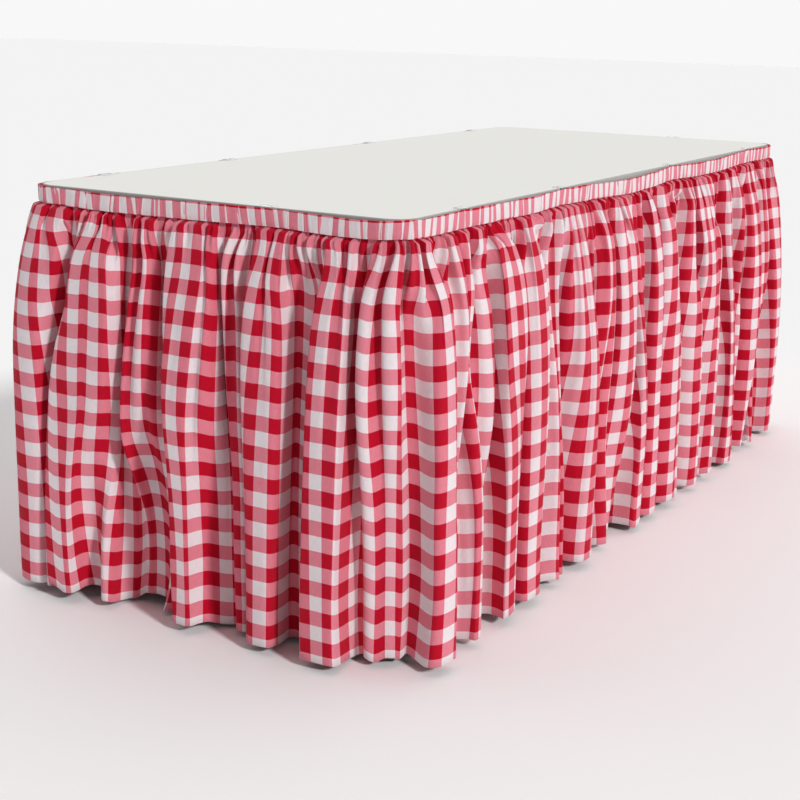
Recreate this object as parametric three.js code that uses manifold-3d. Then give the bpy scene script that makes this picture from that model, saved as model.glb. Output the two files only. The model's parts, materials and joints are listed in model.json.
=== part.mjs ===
// A 6 ft folding banquet table wearing a gathered gingham skirt.
// Millimetres, +Z up. The origin is on the floor under the centre of the top.
// +X runs along the length of the table, and -Y is its front.
import * as THREE from 'three';
import { mergeVertices } from 'three/addons/utils/BufferGeometryUtils.js';
import Module from 'manifold-3d';

const wasm = await Module();
wasm.setup();

// Table top
const tableLength = 1829;
const tableWidth = 762;
const tableHeight = 737;
const cornerRadius = 45;
const coreThickness = 18;
const laminateThickness = 0.8;
const mouldingThickness = 3;
const gap = 0.3;

// Under-structure
const runnerWidth = 20;
const runnerDepth = 38;
const runnerInset = 40;
const runnerEndInset = 90;
const tubeRadius = 12.5;
const tubeWall = 1.5;
const pivotInset = 180;
const pivotDrop = 21.6;
const legSplay = 40;
const legInset = 110;
const crossTubeDrop = 400;
const capRadius = 16;
const capHeight = 30;
const capFloor = 4;
const plateThickness = 3;
const earHalfWidth = 20;
const earInset = 72;
const pivotTubeOverrun = 7;
const turningClearance = 0.5;

// Folding brace of each leg set
const linkThickness = 4;
const linkHalfHeight = 11;
const linkGap = 4;
const braceReach = 300;
const eyeRadius = 18;
const pinRadius = 5;
const rivetRadius = 4;
const tailLength = 34;
const braceEarHalfWidth = 15;
const ringRest = 53;
const ringLength = 14;
const ringWall = 2.5;
const ringSideClearance = 1.5;
const ringHeightClearance = 6;

// Skirt, header and tape
const headerHeight = 29;
const headerThickness = 3;
const headerDrop = 1;
const tapeHeight = 19;
const tapeThickness = 1;
const skirtThickness = 4;
const hemClearance = 13;
const hemFlare = 75;
const swellDrop = 200; // the folds open out to here, then hang almost straight
const swellReach = 68;

// Clips on the edge of the top
const clipWidth = 30;
const clipThickness = 2;
const clipLipThickness = 1.5;
const clipLipDepth = 14;
const clipJawDepth = 18;
const clipTailDepth = 5;
const clipTailDrop = 4;
const padWidth = 25;
const padHeight = 16;
const padThickness = 1.2;
const longSideClips = [190, 570, 1120, 1640];
const endClipOffset = -120;

const arcSteps = 8;
const tubeSides = 16;

// Sizes that follow from the ones above
const halfLength = tableLength / 2;
const halfWidth = tableWidth / 2;
const coreTop = tableHeight - laminateThickness - gap;
const coreBottom = coreTop - coreThickness;
const topUnderside = coreBottom - gap - laminateThickness;
const fixingZ = topUnderside - gap;
const pivotX = halfLength - pivotInset;
const pivotZ = topUnderside - pivotDrop;
const legY = halfWidth - legInset;
const legLean = Math.atan2(legSplay, pivotZ);
const braceX = pivotX - braceReach;
const tapeOffset = gap + clipThickness + gap + padThickness + gap;
const headerOffset = tapeOffset + tapeThickness + gap;
const headerTop = tableHeight - headerDrop;
const skirtTop = headerTop - headerHeight - gap;

const finishes = {
  laminate: { color: 0xe9e8e3, roughness: 0.45, metalness: 0 },
  plywood: { color: 0xc9a36a, roughness: 0.7, metalness: 0 },
  vinyl: { color: 0xe4e3de, roughness: 0.5, metalness: 0 },
  timber: { color: 0xb98c54, roughness: 0.7, metalness: 0 },
  frameSteel: { color: 0x3d3f42, roughness: 0.5, metalness: 0.6 },
  zincSteel: { color: 0xb4b7ba, roughness: 0.35, metalness: 0.9 },
  blackRubber: { color: 0x1b1b1c, roughness: 0.8, metalness: 0 },
  gingham: { color: 0xc81e3a, roughness: 0.85, metalness: 0 },
  header: { color: 0xe2a4b0, roughness: 0.85, metalness: 0 },
  whiteTape: { color: 0xf0f0ee, roughness: 0.9, metalness: 0 },
  clearPlastic: { color: 0xd9dee0, roughness: 0.2, metalness: 0 },
};

const model = new THREE.Group();

function addPiece(name, geometry, finish, parent = model) {
  const mesh = new THREE.Mesh(geometry, new THREE.MeshStandardMaterial(finishes[finish]));
  mesh.name = name;
  parent.add(mesh);
  return mesh;
}

// Turning a closed geometry into a solid for joining and cutting, and back again
function toSolid(geometry) {
  const bare = geometry.clone();
  bare.deleteAttribute('normal');
  bare.deleteAttribute('uv');
  const merged = mergeVertices(bare, 1e-4);
  return new wasm.Manifold(new wasm.Mesh({
    numProp: 3,
    vertProperties: new Float32Array(merged.attributes.position.array),
    triVerts: new Uint32Array(merged.index.array),
  }));
}

function toGeometry(solid) {
  const mesh = solid.getMesh();
  const geometry = new THREE.BufferGeometry();
  geometry.setAttribute('position', new THREE.BufferAttribute(mesh.vertProperties, 3));
  geometry.setIndex(new THREE.BufferAttribute(mesh.triVerts, 1));
  return geometry;
}

function box(low, high) {
  const size = high.map((value, axis) => value - low[axis]);
  const middle = high.map((value, axis) => (value + low[axis]) / 2);
  return new THREE.BoxGeometry(...size).translate(...middle);
}

function boxAround(points) {
  const low = [0, 1, 2].map((axis) => Math.min(...points.map((point) => point[axis])));
  const high = [0, 1, 2].map((axis) => Math.max(...points.map((point) => point[axis])));
  return box(low, high);
}

// A disc or rod along Y, at x and z
function rodAlongY(x, z, radius, yStart, yEnd) {
  const rod = new THREE.CylinderGeometry(radius, radius, Math.abs(yEnd - yStart), tubeSides);
  return rod.translate(x, (yStart + yEnd) / 2, z);
}

// The outline of the table at a distance outside its edge
function tableOutline(offset) {
  const x = halfLength + offset;
  const y = halfWidth + offset;
  const r = cornerRadius + offset;
  const outline = new THREE.Shape();
  outline.absarc(x - r, y - r, r, 0, Math.PI / 2);
  outline.absarc(r - x, y - r, r, Math.PI / 2, Math.PI);
  outline.absarc(r - x, r - y, r, Math.PI, 1.5 * Math.PI);
  outline.absarc(x - r, r - y, r, 1.5 * Math.PI, 2 * Math.PI);
  return outline;
}

function plate(offset, low, thickness) {
  const geometry = new THREE.ExtrudeGeometry(tableOutline(offset), {
    depth: thickness, bevelEnabled: false, curveSegments: arcSteps,
  });
  return geometry.translate(0, 0, low);
}

function band(innerOffset, thickness, low, height) {
  const outline = tableOutline(innerOffset + thickness);
  outline.holes.push(tableOutline(innerOffset));
  const geometry = new THREE.ExtrudeGeometry(outline, {
    depth: height, bevelEnabled: false, curveSegments: arcSteps,
  });
  return geometry.translate(0, 0, low);
}

// The four sides: which way each faces, and where the middle of its edge is
const sides = {
  front: { out: new THREE.Vector3(0, -1, 0), edge: halfWidth, length: tableLength },
  back: { out: new THREE.Vector3(0, 1, 0), edge: halfWidth, length: tableLength },
  left: { out: new THREE.Vector3(-1, 0, 0), edge: halfLength, length: tableWidth },
  right: { out: new THREE.Vector3(1, 0, 0), edge: halfLength, length: tableWidth },
};

// A section drawn as (distance outside the edge, height), run along a side about a point x, y
function runAlongSide(side, section, width, along) {
  const up = new THREE.Vector3(0, 0, 1);
  const run = new THREE.Vector3().crossVectors(side.out, up);
  const outline = new THREE.Shape(section.map((point) => new THREE.Vector2(...point)));
  const geometry = new THREE.ExtrudeGeometry(outline, { depth: width, bevelEnabled: false });
  geometry.translate(0, 0, -width / 2);
  const alongAxis = Math.abs(side.out.x) > 0 ? new THREE.Vector3(0, 1, 0) : new THREE.Vector3(1, 0, 0);
  const place = side.out.clone().multiplyScalar(side.edge).addScaledVector(alongAxis, along);
  const matrix = new THREE.Matrix4().makeBasis(side.out, up, run).setPosition(place);
  return geometry.applyMatrix4(matrix);
}

function makeTop() {
  addPiece('plywood_core', plate(-mouldingThickness - gap, coreBottom, coreThickness), 'plywood');
  addPiece('top_laminate', plate(-mouldingThickness - gap, coreTop + gap, laminateThickness), 'laminate');
  addPiece('backing_laminate', plate(-mouldingThickness - gap, topUnderside, laminateThickness), 'laminate');
  const edgeHeight = tableHeight - topUnderside;
  addPiece('edge_moulding', band(-mouldingThickness, mouldingThickness, topUnderside, edgeHeight), 'vinyl');
}

function makeRunners() {
  const reach = halfLength - runnerEndInset;
  for (const [name, sign] of [['front', -1], ['back', 1]]) {
    const outer = sign * (halfWidth - runnerInset);
    const inner = sign * (halfWidth - runnerInset - runnerWidth);
    const runner = boxAround([[-reach, outer, fixingZ], [reach, inner, fixingZ - runnerDepth]]);
    addPiece(`runner_${name}`, runner, 'timber');
  }
}

// An angle plate under the top whose ear carries one end of a leg set's pivot tube
function legBracket(side, end) {
  const x = side * pivotX;
  const earOuter = end * (halfWidth - earInset);
  const earInner = end * (halfWidth - earInset - plateThickness);
  const flangeInner = end * (legY - earHalfWidth);
  const lowest = pivotZ - earHalfWidth;
  const flange = boxAround([
    [x - 1.5 * earHalfWidth, flangeInner, fixingZ],
    [x + 1.5 * earHalfWidth, earOuter, fixingZ - plateThickness],
  ]);
  const ear = boxAround([[x - earHalfWidth, earInner, fixingZ], [x + earHalfWidth, earOuter, lowest]]);
  const hole = rodAlongY(x, pivotZ, tubeRadius + turningClearance, earInner - end, earOuter + end);
  return toGeometry(toSolid(flange).add(toSolid(ear)).subtract(toSolid(hole)));
}

// A round tube from one point to another
function tube(start, end) {
  const ring = new THREE.Shape().absarc(0, 0, tubeRadius, 0, 2 * Math.PI);
  ring.holes.push(new THREE.Path().absarc(0, 0, tubeRadius - tubeWall, 0, 2 * Math.PI));
  const direction = end.clone().sub(start);
  const geometry = new THREE.ExtrudeGeometry(ring, {
    depth: direction.length(), bevelEnabled: false, curveSegments: tubeSides,
  });
  const turn = new THREE.Quaternion().setFromUnitVectors(
    new THREE.Vector3(0, 0, 1), direction.clone().normalize(),
  );
  return geometry.applyQuaternion(turn).translate(start.x, start.y, start.z);
}

// A point on the centre line of a leg, at a distance down it from the pivot
function legPoint(side, distance, y) {
  const x = side * (pivotX + distance * Math.sin(legLean));
  return new THREE.Vector3(x, y, pivotZ - distance * Math.cos(legLean));
}

// A moulded foot with a flat tread, bored at the leg's lean to take the end of its tube
function footCap(side, y) {
  const foot = legPoint(side, pivotZ / Math.cos(legLean), y);
  const body = new THREE.CylinderGeometry(capRadius, capRadius, capHeight, tubeSides * 2);
  body.rotateX(Math.PI / 2).translate(foot.x, y, capHeight / 2);
  const axis = legPoint(side, 1, y).sub(legPoint(side, 0, y));
  const socketRadius = tubeRadius + gap;
  const socket = new THREE.CylinderGeometry(socketRadius, socketRadius, 2 * capHeight, tubeSides * 2);
  const turn = new THREE.Quaternion().setFromUnitVectors(new THREE.Vector3(0, 1, 0), axis);
  const middle = foot.clone().addScaledVector(axis, -capHeight - capFloor);
  socket.applyQuaternion(turn).translate(middle.x, middle.y, middle.z);
  return toGeometry(toSolid(body).subtract(toSolid(socket)));
}

function makeLegSet(name, side) {
  const pivotReach = halfWidth - earInset + pivotTubeOverrun;
  addPiece(`pivot_tube_${name}`, tube(legPoint(side, 0, -pivotReach), legPoint(side, 0, pivotReach)), 'frameSteel');
  const crossReach = legY - tubeRadius - gap;
  addPiece(`cross_tube_${name}`, tube(
    legPoint(side, crossTubeDrop, -crossReach), legPoint(side, crossTubeDrop, crossReach),
  ), 'frameSteel');
  const legEnd = pivotZ / Math.cos(legLean) - capFloor - 2 * gap;
  for (const [place, end] of [['front', -1], ['back', 1]]) {
    const y = end * legY;
    const leg = tube(legPoint(side, tubeRadius + gap, y), legPoint(side, legEnd, y));
    addPiece(`leg_tube_${name}_${place}`, leg, 'frameSteel');
    addPiece(`foot_cap_${name}_${place}`, footCap(side, y), 'blackRubber');
    addPiece(`leg_bracket_${name}_${place}`, legBracket(side, end), 'zincSteel');
  }
}

// A flat link lying in a plane of constant y, from a point x, z along a direction
function layLink(outline, start, direction, yLow) {
  const geometry = new THREE.ExtrudeGeometry(outline, {
    depth: linkThickness, bevelEnabled: false, curveSegments: arcSteps,
  });
  const across = new THREE.Vector3(0, 1, 0);
  const normal = new THREE.Vector3().crossVectors(across, direction);
  const matrix = new THREE.Matrix4().makeBasis(direction, normal, across);
  matrix.setPosition(start.x, yLow, start.z);
  return geometry.applyMatrix4(matrix);
}

// The lower link: an eye that turns on the cross tube, and a bar up to the knee
function lowerLinkOutline(length) {
  const neck = Math.asin(linkHalfHeight / eyeRadius);
  const outline = new THREE.Shape();
  outline.absarc(0, 0, eyeRadius, neck, 2 * Math.PI - neck);
  outline.absarc(length, 0, linkHalfHeight, -Math.PI / 2, Math.PI / 2);
  outline.holes.push(new THREE.Path().absarc(0, 0, tubeRadius + turningClearance, 0, 2 * Math.PI));
  outline.holes.push(new THREE.Path().absarc(length, 0, rivetRadius + turningClearance, 0, 2 * Math.PI));
  return outline;
}

// The upper link: a bar from the pin under the top to the knee, and a tail past it
function upperLinkOutline(length) {
  const outline = new THREE.Shape();
  outline.absarc(0, 0, linkHalfHeight, Math.PI / 2, 1.5 * Math.PI);
  outline.absarc(length + tailLength - linkHalfHeight, 0, linkHalfHeight, -Math.PI / 2, Math.PI / 2);
  outline.holes.push(new THREE.Path().absarc(0, 0, pinRadius + turningClearance, 0, 2 * Math.PI));
  return outline;
}

// The angle bracket under the top with the pin that the upper link hangs on
function braceBracket(side) {
  const x = side * braceX;
  const earNear = -linkGap / 2 - linkThickness - 1;
  const earFar = earNear - plateThickness;
  const flangeFar = earFar - 2 * earHalfWidth;
  const lowest = pivotZ - braceEarHalfWidth;
  const ear = boxAround([[x - braceEarHalfWidth, earFar, fixingZ], [x + braceEarHalfWidth, earNear, lowest]]);
  const flange = boxAround([
    [x - braceEarHalfWidth, flangeFar, fixingZ],
    [x + braceEarHalfWidth, earNear, fixingZ - plateThickness],
  ]);
  const pin = rodAlongY(x, pivotZ, pinRadius, earFar + 1, -linkGap / 2 + 1);
  return toGeometry(toSolid(ear).add(toSolid(flange)).add(toSolid(pin)));
}

// The steel loop on the lower link. It slides up over the knee to keep both links in line
function lockRing(centre, direction) {
  const innerY = linkGap / 2 + linkThickness + ringSideClearance;
  const innerZ = linkHalfHeight + ringHeightClearance;
  const loop = (y, z) => [[-y, -z], [y, -z], [y, z], [-y, z]].map((point) => new THREE.Vector2(...point));
  const outline = new THREE.Shape(loop(innerY + ringWall, innerZ + ringWall));
  outline.holes.push(new THREE.Path(loop(innerY, innerZ)));
  const geometry = new THREE.ExtrudeGeometry(outline, { depth: ringLength, bevelEnabled: false });
  geometry.translate(0, 0, -ringLength / 2);
  const across = new THREE.Vector3(0, 1, 0);
  const normal = new THREE.Vector3().crossVectors(direction, across);
  const matrix = new THREE.Matrix4().makeBasis(across, normal, direction);
  matrix.setPosition(centre.x, 0, centre.z);
  return geometry.applyMatrix4(matrix);
}

// With the legs folded flat the lower link passes the upper link's pin by this much
function makeBrace(name, side) {
  const foot = legPoint(side, crossTubeDrop, 0);
  const head = new THREE.Vector3(side * braceX, 0, pivotZ);
  const span = foot.distanceTo(head);
  const overrun = crossTubeDrop - braceReach;
  const lowerLength = (span + overrun) / 2;
  const upperLength = (span - overrun) / 2;
  const up = head.clone().sub(foot).normalize();
  const down = up.clone().negate();
  const knee = foot.clone().addScaledVector(up, lowerLength);
  const lower = layLink(lowerLinkOutline(lowerLength), foot, up, linkGap / 2);
  addPiece(`brace_lower_${name}`, lower, 'zincSteel');
  const upper = layLink(upperLinkOutline(upperLength), head, down, -linkGap / 2 - linkThickness);
  const rivet = rodAlongY(knee.x, knee.z, rivetRadius, -linkGap / 2 - 1, linkGap / 2 - turningClearance);
  addPiece(`brace_upper_${name}`, toGeometry(toSolid(upper).add(toSolid(rivet))), 'zincSteel');
  addPiece(`brace_bracket_${name}`, braceBracket(side), 'zincSteel');
  const ringCentre = foot.clone().addScaledVector(up, ringRest);
  addPiece(`lock_ring_${name}`, lockRing(ringCentre, down), 'zincSteel');
}

// The drop of the skirt: four straight runs, and a quarter turn round each corner of the top
function skirtSection() {
  const swellZ = skirtTop - swellDrop;
  return [
    [headerOffset, skirtTop],
    [swellReach - skirtThickness, swellZ],
    [hemFlare - skirtThickness, hemClearance],
    [hemFlare, hemClearance],
    [swellReach, swellZ],
    [headerOffset + skirtThickness, skirtTop],
  ];
}

function makeSkirt() {
  for (const [name, side] of Object.entries(sides)) {
    const run = side.length - 2 * cornerRadius - 2 * gap;
    addPiece(`skirt_${name}`, runAlongSide(side, skirtSection(), run, 0), 'gingham');
  }
  for (const [endName, x] of [['left', -1], ['right', 1]]) {
    for (const [faceName, y] of [['front', -1], ['back', 1]]) {
      const corner = toSolid(skirtCorner(x, y)).intersect(toSolid(cornerQuarter(x, y)));
      addPiece(`skirt_corner_${faceName}_${endName}`, toGeometry(corner), 'gingham');
    }
  }
}

function skirtCorner(x, y) {
  const section = skirtSection().map(([out, z]) => new THREE.Vector2(cornerRadius + out, z));
  const lathe = new THREE.LatheGeometry([...section, section[0]], 4 * arcSteps);
  lathe.rotateX(Math.PI / 2);
  return lathe.translate(x * (halfLength - cornerRadius), y * (halfWidth - cornerRadius), 0);
}

function cornerQuarter(x, y) {
  const centreX = x * (halfLength - cornerRadius);
  const centreY = y * (halfWidth - cornerRadius);
  const reach = 2 * (cornerRadius + hemFlare);
  return boxAround([[centreX, centreY, 0], [centreX + x * reach, centreY + y * reach, tableHeight]]);
}

function makeHeader() {
  addPiece('header_band', band(headerOffset, headerThickness, headerTop - headerHeight, headerHeight), 'header');
  const tapeLow = headerTop - (headerHeight + tapeHeight) / 2;
  addPiece('loop_tape', band(tapeOffset, tapeThickness, tapeLow, tapeHeight), 'whiteTape');
}

// A sprung clip that grips the edge of the top, seen along the edge
function clipSection() {
  const lipTop = tableHeight + gap + clipLipThickness;
  const jawTop = topUnderside - gap;
  const webOuter = gap + clipThickness;
  return [
    [webOuter, lipTop],
    [-clipLipDepth, lipTop],
    [-clipLipDepth, tableHeight + gap],
    [gap, tableHeight + gap],
    [gap, jawTop],
    [-clipJawDepth, jawTop],
    [-clipJawDepth - clipTailDepth, jawTop - clipTailDrop],
    [-clipJawDepth - clipTailDepth, jawTop - clipTailDrop - clipThickness],
    [-clipJawDepth, jawTop - clipThickness],
    [webOuter, jawTop - clipThickness],
  ];
}

function makeClip(name, side, along) {
  addPiece(`skirt_clip_${name}`, runAlongSide(side, clipSection(), clipWidth, along), 'clearPlastic');
  const padNear = gap + clipThickness + gap;
  const padMiddle = (tableHeight + topUnderside) / 2;
  const padSection = [
    [padNear, padMiddle - padHeight / 2],
    [padNear + padThickness, padMiddle - padHeight / 2],
    [padNear + padThickness, padMiddle + padHeight / 2],
    [padNear, padMiddle + padHeight / 2],
  ];
  addPiece(`hook_pad_${name}`, runAlongSide(side, padSection, padWidth, along), 'whiteTape');
}

function makeClips() {
  longSideClips.forEach((distance, index) => {
    makeClip(`front_${index + 1}`, sides.front, distance - halfLength);
    makeClip(`back_${index + 1}`, sides.back, distance - halfLength);
  });
  makeClip('left_1', sides.left, endClipOffset);
  makeClip('right_1', sides.right, endClipOffset);
}

makeTop();
makeRunners();
for (const [name, side] of [['left', -1], ['right', 1]]) {
  makeLegSet(name, side);
  makeBrace(name, side);
}
makeSkirt();
makeHeader();
makeClips();

export default model;
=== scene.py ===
# A folding banquet table wearing a gathered gingham skirt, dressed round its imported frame.
# Metres, +Z up, -Y is the front. The skirt is one length of cloth. Each of its rows keeps its flat
# width and bends left and right, and the depth of the folds is then fitted below the table's edge.
import json
import math

import bmesh
import bpy
import numpy as np
from mathutils import Matrix, Vector


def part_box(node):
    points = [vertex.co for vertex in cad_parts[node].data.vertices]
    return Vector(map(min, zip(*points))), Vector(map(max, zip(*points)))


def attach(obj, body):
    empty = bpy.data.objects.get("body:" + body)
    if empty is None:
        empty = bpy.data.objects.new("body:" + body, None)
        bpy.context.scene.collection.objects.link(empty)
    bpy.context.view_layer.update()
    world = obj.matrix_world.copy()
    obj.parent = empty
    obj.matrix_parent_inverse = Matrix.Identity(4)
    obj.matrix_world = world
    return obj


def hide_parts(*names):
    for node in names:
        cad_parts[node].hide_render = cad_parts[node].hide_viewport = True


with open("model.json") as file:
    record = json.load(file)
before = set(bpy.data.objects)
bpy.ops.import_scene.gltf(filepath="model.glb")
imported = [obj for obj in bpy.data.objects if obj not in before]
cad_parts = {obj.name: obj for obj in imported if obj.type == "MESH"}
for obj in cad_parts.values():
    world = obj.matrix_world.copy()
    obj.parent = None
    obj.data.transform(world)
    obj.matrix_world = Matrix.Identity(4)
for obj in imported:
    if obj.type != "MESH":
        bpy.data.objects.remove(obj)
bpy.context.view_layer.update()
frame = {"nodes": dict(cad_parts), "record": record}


def sizesFromFrame():
    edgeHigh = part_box("edge_moulding")[1]
    wallLow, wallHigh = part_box("skirt_left")
    headerLow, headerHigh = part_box("header_band")
    return {
        "halfLength": edgeHigh.x,
        "halfWidth": edgeHigh.y,
        "cornerRadius": edgeHigh.y - wallHigh.y,
        "headerTop": headerHigh.z,
        "headerLow": headerLow.z,
        "headerOut": headerHigh.x - edgeHigh.x,
        "hemZ": wallLow.z,
        "flare": -wallLow.x - edgeHigh.x,
    }


size = sizesFromFrame()

gingham = {
    "check": 0.0254,  # one inch checks
    "fullness": 2.1,  # cloth width over the width it is gathered to
    "widths": 7,  # lengths of cloth sewn side by side
    "yarn": 0.0011,  # real yarn is about 0.4 mm; drawn coarser so that it shows
}


def linear(hexColour):
    # a display colour as the linear red, green, blue and alpha that shaders take
    value = hexColour.lstrip("#")
    channels = [int(value[i:i + 2], 16) / 255 for i in (0, 2, 4)]
    return [c / 12.92 if c <= 0.04045 else ((c + 0.055) / 1.055) ** 2.4 for c in channels] + [1.0]


def addNode(tree, kind, inputs=None, output=0, **settings):
    # adds one node, sets or links its inputs, and gives back one of its outputs. Inputs go by name or
    # number: a colour Mix has its colours at 6 and 7 and its result at 2, and Mapping its scale at 3
    node = tree.nodes.new("ShaderNode" + kind)
    for name, value in settings.items():
        setattr(node, name, value)
    for key, value in (inputs or {}).items():
        socket = node.inputs[key]
        if isinstance(value, bpy.types.NodeSocket):
            tree.links.new(value, socket)
        else:
            socket.default_value = value
    return node.outputs[output] if node.outputs else node


def newMaterial(name):
    material = bpy.data.materials.new(name)
    material.use_nodes = True
    material.node_tree.nodes.clear()
    return material, material.node_tree


def smoothNoise(rows, columns, rowStep, columnStep, seed):
    # smooth random field, about -1 to 1, one knot every rowStep rows and columnStep columns
    source = np.random.default_rng(seed)
    knots = source.uniform(-1, 1, (int(rows / rowStep) + 4, int(columns / columnStep) + 4))

    def ease(count, step):
        place = np.arange(count) / step
        whole = place.astype(int)
        share = place - whole
        return whole, share * share * (3 - 2 * share)

    r, rowShare = ease(rows, rowStep)
    c, columnShare = ease(columns, columnStep)
    low = knots[r][:, c] * (1 - columnShare) + knots[r][:, c + 1] * columnShare
    high = knots[r + 1][:, c] * (1 - columnShare) + knots[r + 1][:, c + 1] * columnShare
    return low * (1 - rowShare[:, None]) + high * rowShare[:, None]


def blur(values, reach):
    # running mean along the last axis, three times over, with the ends held
    for _ in range(3):
        before = np.repeat(values[..., :1], reach, axis=-1)
        after = np.repeat(values[..., -1:], reach + 1, axis=-1)
        padded = np.concatenate([before, values, after], axis=-1)
        total = np.cumsum(padded, axis=-1)
        width = 2 * reach + 1
        values = (total[..., width:] - total[..., :-width]) / width
        values = values[..., :padded.shape[-1] - 2 * reach - 1]
    return values


edgePath = {
    "swing": 0.026,  # distance outside the edge at which the way round is measured
}


def edgeRuns():
    # each side and corner in turn, from the back right corner. A side has its length, start, direction
    # and outward normal; a corner has its length, centre, start angle and radius
    a, b, r = size["halfLength"], size["halfWidth"], size["cornerRadius"]
    arc = (r + edgePath["swing"]) * math.pi / 2
    runs = []
    for normal, start, length in [
        (90, (a - r, b), 2 * (a - r)),
        (180, (-a, b - r), 2 * (b - r)),
        (270, (r - a, -b), 2 * (a - r)),
        (0, (a, r - b), 2 * (b - r)),
    ]:
        angle = math.radians(normal)
        out = np.array([math.cos(angle), math.sin(angle)])
        along = np.array([-out[1], out[0]])
        start = np.array(start)
        centre = start + along * length - out * r
        runs.append(("side", length, start, along, out))
        runs.append(("corner", arc, centre, angle, r))
    return runs


edgeRunList = edgeRuns()
wayRound = sum(run[1] for run in edgeRunList)


def placeOnPath(way, out):
    # x and y of points at a way round the table and a distance outside its edge
    way = np.mod(way, wayRound)
    x = np.zeros_like(way)
    y = np.zeros_like(way)
    begin = 0.0
    for run in edgeRunList:
        inside = (way >= begin) & (way < begin + run[1])
        share = way[inside] - begin
        if run[0] == "side":
            _, _, start, along, normal = run
            x[inside] = start[0] + along[0] * share + normal[0] * out[inside]
            y[inside] = start[1] + along[1] * share + normal[1] * out[inside]
        else:
            _, length, centre, angle, radius = run
            turn = angle + share / length * math.pi / 2
            x[inside] = centre[0] + (radius + out[inside]) * np.cos(turn)
            y[inside] = centre[1] + (radius + out[inside]) * np.sin(turn)
        begin += run[1]
    return x, y


def wayOf(x, y):
    # the way round the table of the edge's nearest point to x, y on a straight side
    begin = 0.0
    best = None
    for run in edgeRunList:
        if run[0] == "side":
            _, length, start, along, normal = run
            offset = np.array([x, y]) - start
            share = float(offset @ along)
            away = abs(float(offset @ normal))
            if 0 <= share <= length and (best is None or away < best[0]):
                best = (away, begin + share)
        begin += run[1]
    return best[1]


clipWays = sorted(
    wayOf(*((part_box(name)[0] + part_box(name)[1]) / 2).xy)
    for name in frame["nodes"] if name.startswith("skirt_clip")
)

heading = {
    "sag": 0.008,  # how far the heading hangs down between clips at most
    "sagLeast": 0.25,  # the shallowest sag as a share of the deepest
    "sagSpan": 0.35,  # clips nearer than this leave less cloth to sag
    "pleat": 0.0070,  # usual width of one flat pleat
    "pleatSpread": 0.75,  # how much the pleats' widths differ
    "pleatLeast": 0.35, "pleatMost": 3.4,  # narrowest and widest, in usual widths
    "layer": 0.00045,  # thickness of one layer of cloth as pressed
    "slant": 0.22,  # how far the pleats lean to one side or the other
    "turnDown": 0.008,  # the part turned down behind the top
    "backGap": 0.0016,  # from the front of the cloth to the part turned down
    "frontGap": 0.0008,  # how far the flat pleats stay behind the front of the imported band
    "puff": 0.0005,  # uneven pressing of the pleats
    "stitchPinch": 0.0009,  # how far the stitching at the foot pulls the cloth in
    "stitchHeight": 0.0016,
    "ripple": 0.0006,  # rise and fall of the top fold
    "checkWander": 0.0022,  # how far the checks drift up and down along the band
    "gatherDrop": 0.93,  # the checks' height once the cloth is gathered
    "tapeHeight": 0.019,
    "tapeGap": 0.0003,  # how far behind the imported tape's face the sewn tape lies
}


def headingSag(way):
    # how far the heading's top hangs below the table top along the way round
    stops = [clipWays[-1] - wayRound] + clipWays + [clipWays[0] + wayRound]
    cornerWays = []
    begin = 0.0
    for run in edgeRunList:
        if run[0] == "corner":
            cornerWays.append(begin + run[1] / 2)
        begin += run[1]
    held = np.array(sorted(stops + cornerWays))
    source = np.random.default_rng(5)
    depth = source.uniform(heading["sagLeast"], 1.0, len(held)) * heading["sag"]
    lean = source.uniform(0.75, 1.35, len(held))  # moves the lowest place to one side of the middle
    span = np.clip(np.searchsorted(held, way) - 1, 0, len(held) - 2)
    share = (way - held[span]) / (held[span + 1] - held[span])
    share = np.clip(share, 0, 1) ** lean[span]
    long = np.clip((held[span + 1] - held[span]) / heading["sagSpan"], 0.15, 1)
    return depth[span] * long * np.sin(np.pi * share) ** 1.3


def makeSheet(name, x, y, z, across, down, material):
    # a grid of points as a mesh, with the flat cloth's own place of each point as its UV
    rows, columns = x.shape
    points = np.stack([x, y, z], axis=-1).reshape(-1, 3)
    index = np.arange(rows * columns).reshape(rows, columns)
    quads = np.stack([index[:-1, :-1], index[1:, :-1], index[1:, 1:], index[:-1, 1:]], axis=-1).reshape(-1, 4)
    mesh = bpy.data.meshes.new(name)
    mesh.vertices.add(len(points))
    mesh.vertices.foreach_set("co", points.astype(np.float32).ravel())
    mesh.loops.add(quads.size)
    mesh.loops.foreach_set("vertex_index", quads.astype(np.int32).ravel())
    mesh.polygons.add(len(quads))
    mesh.polygons.foreach_set("loop_start", np.arange(0, quads.size, 4, dtype=np.int32))
    mesh.update(calc_edges=True)
    flat = np.stack([across, down], axis=-1).reshape(-1, 2)
    layer = mesh.uv_layers.new(name="flatCloth")
    layer.data.foreach_set("uv", flat[quads.ravel()].astype(np.float32).ravel())
    mesh.polygons.foreach_set("use_smooth", np.ones(len(quads), bool))
    mesh.materials.append(material)
    mesh.validate()
    piece = bpy.data.objects.new(name, mesh)
    bpy.context.scene.collection.objects.link(piece)
    return piece


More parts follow.
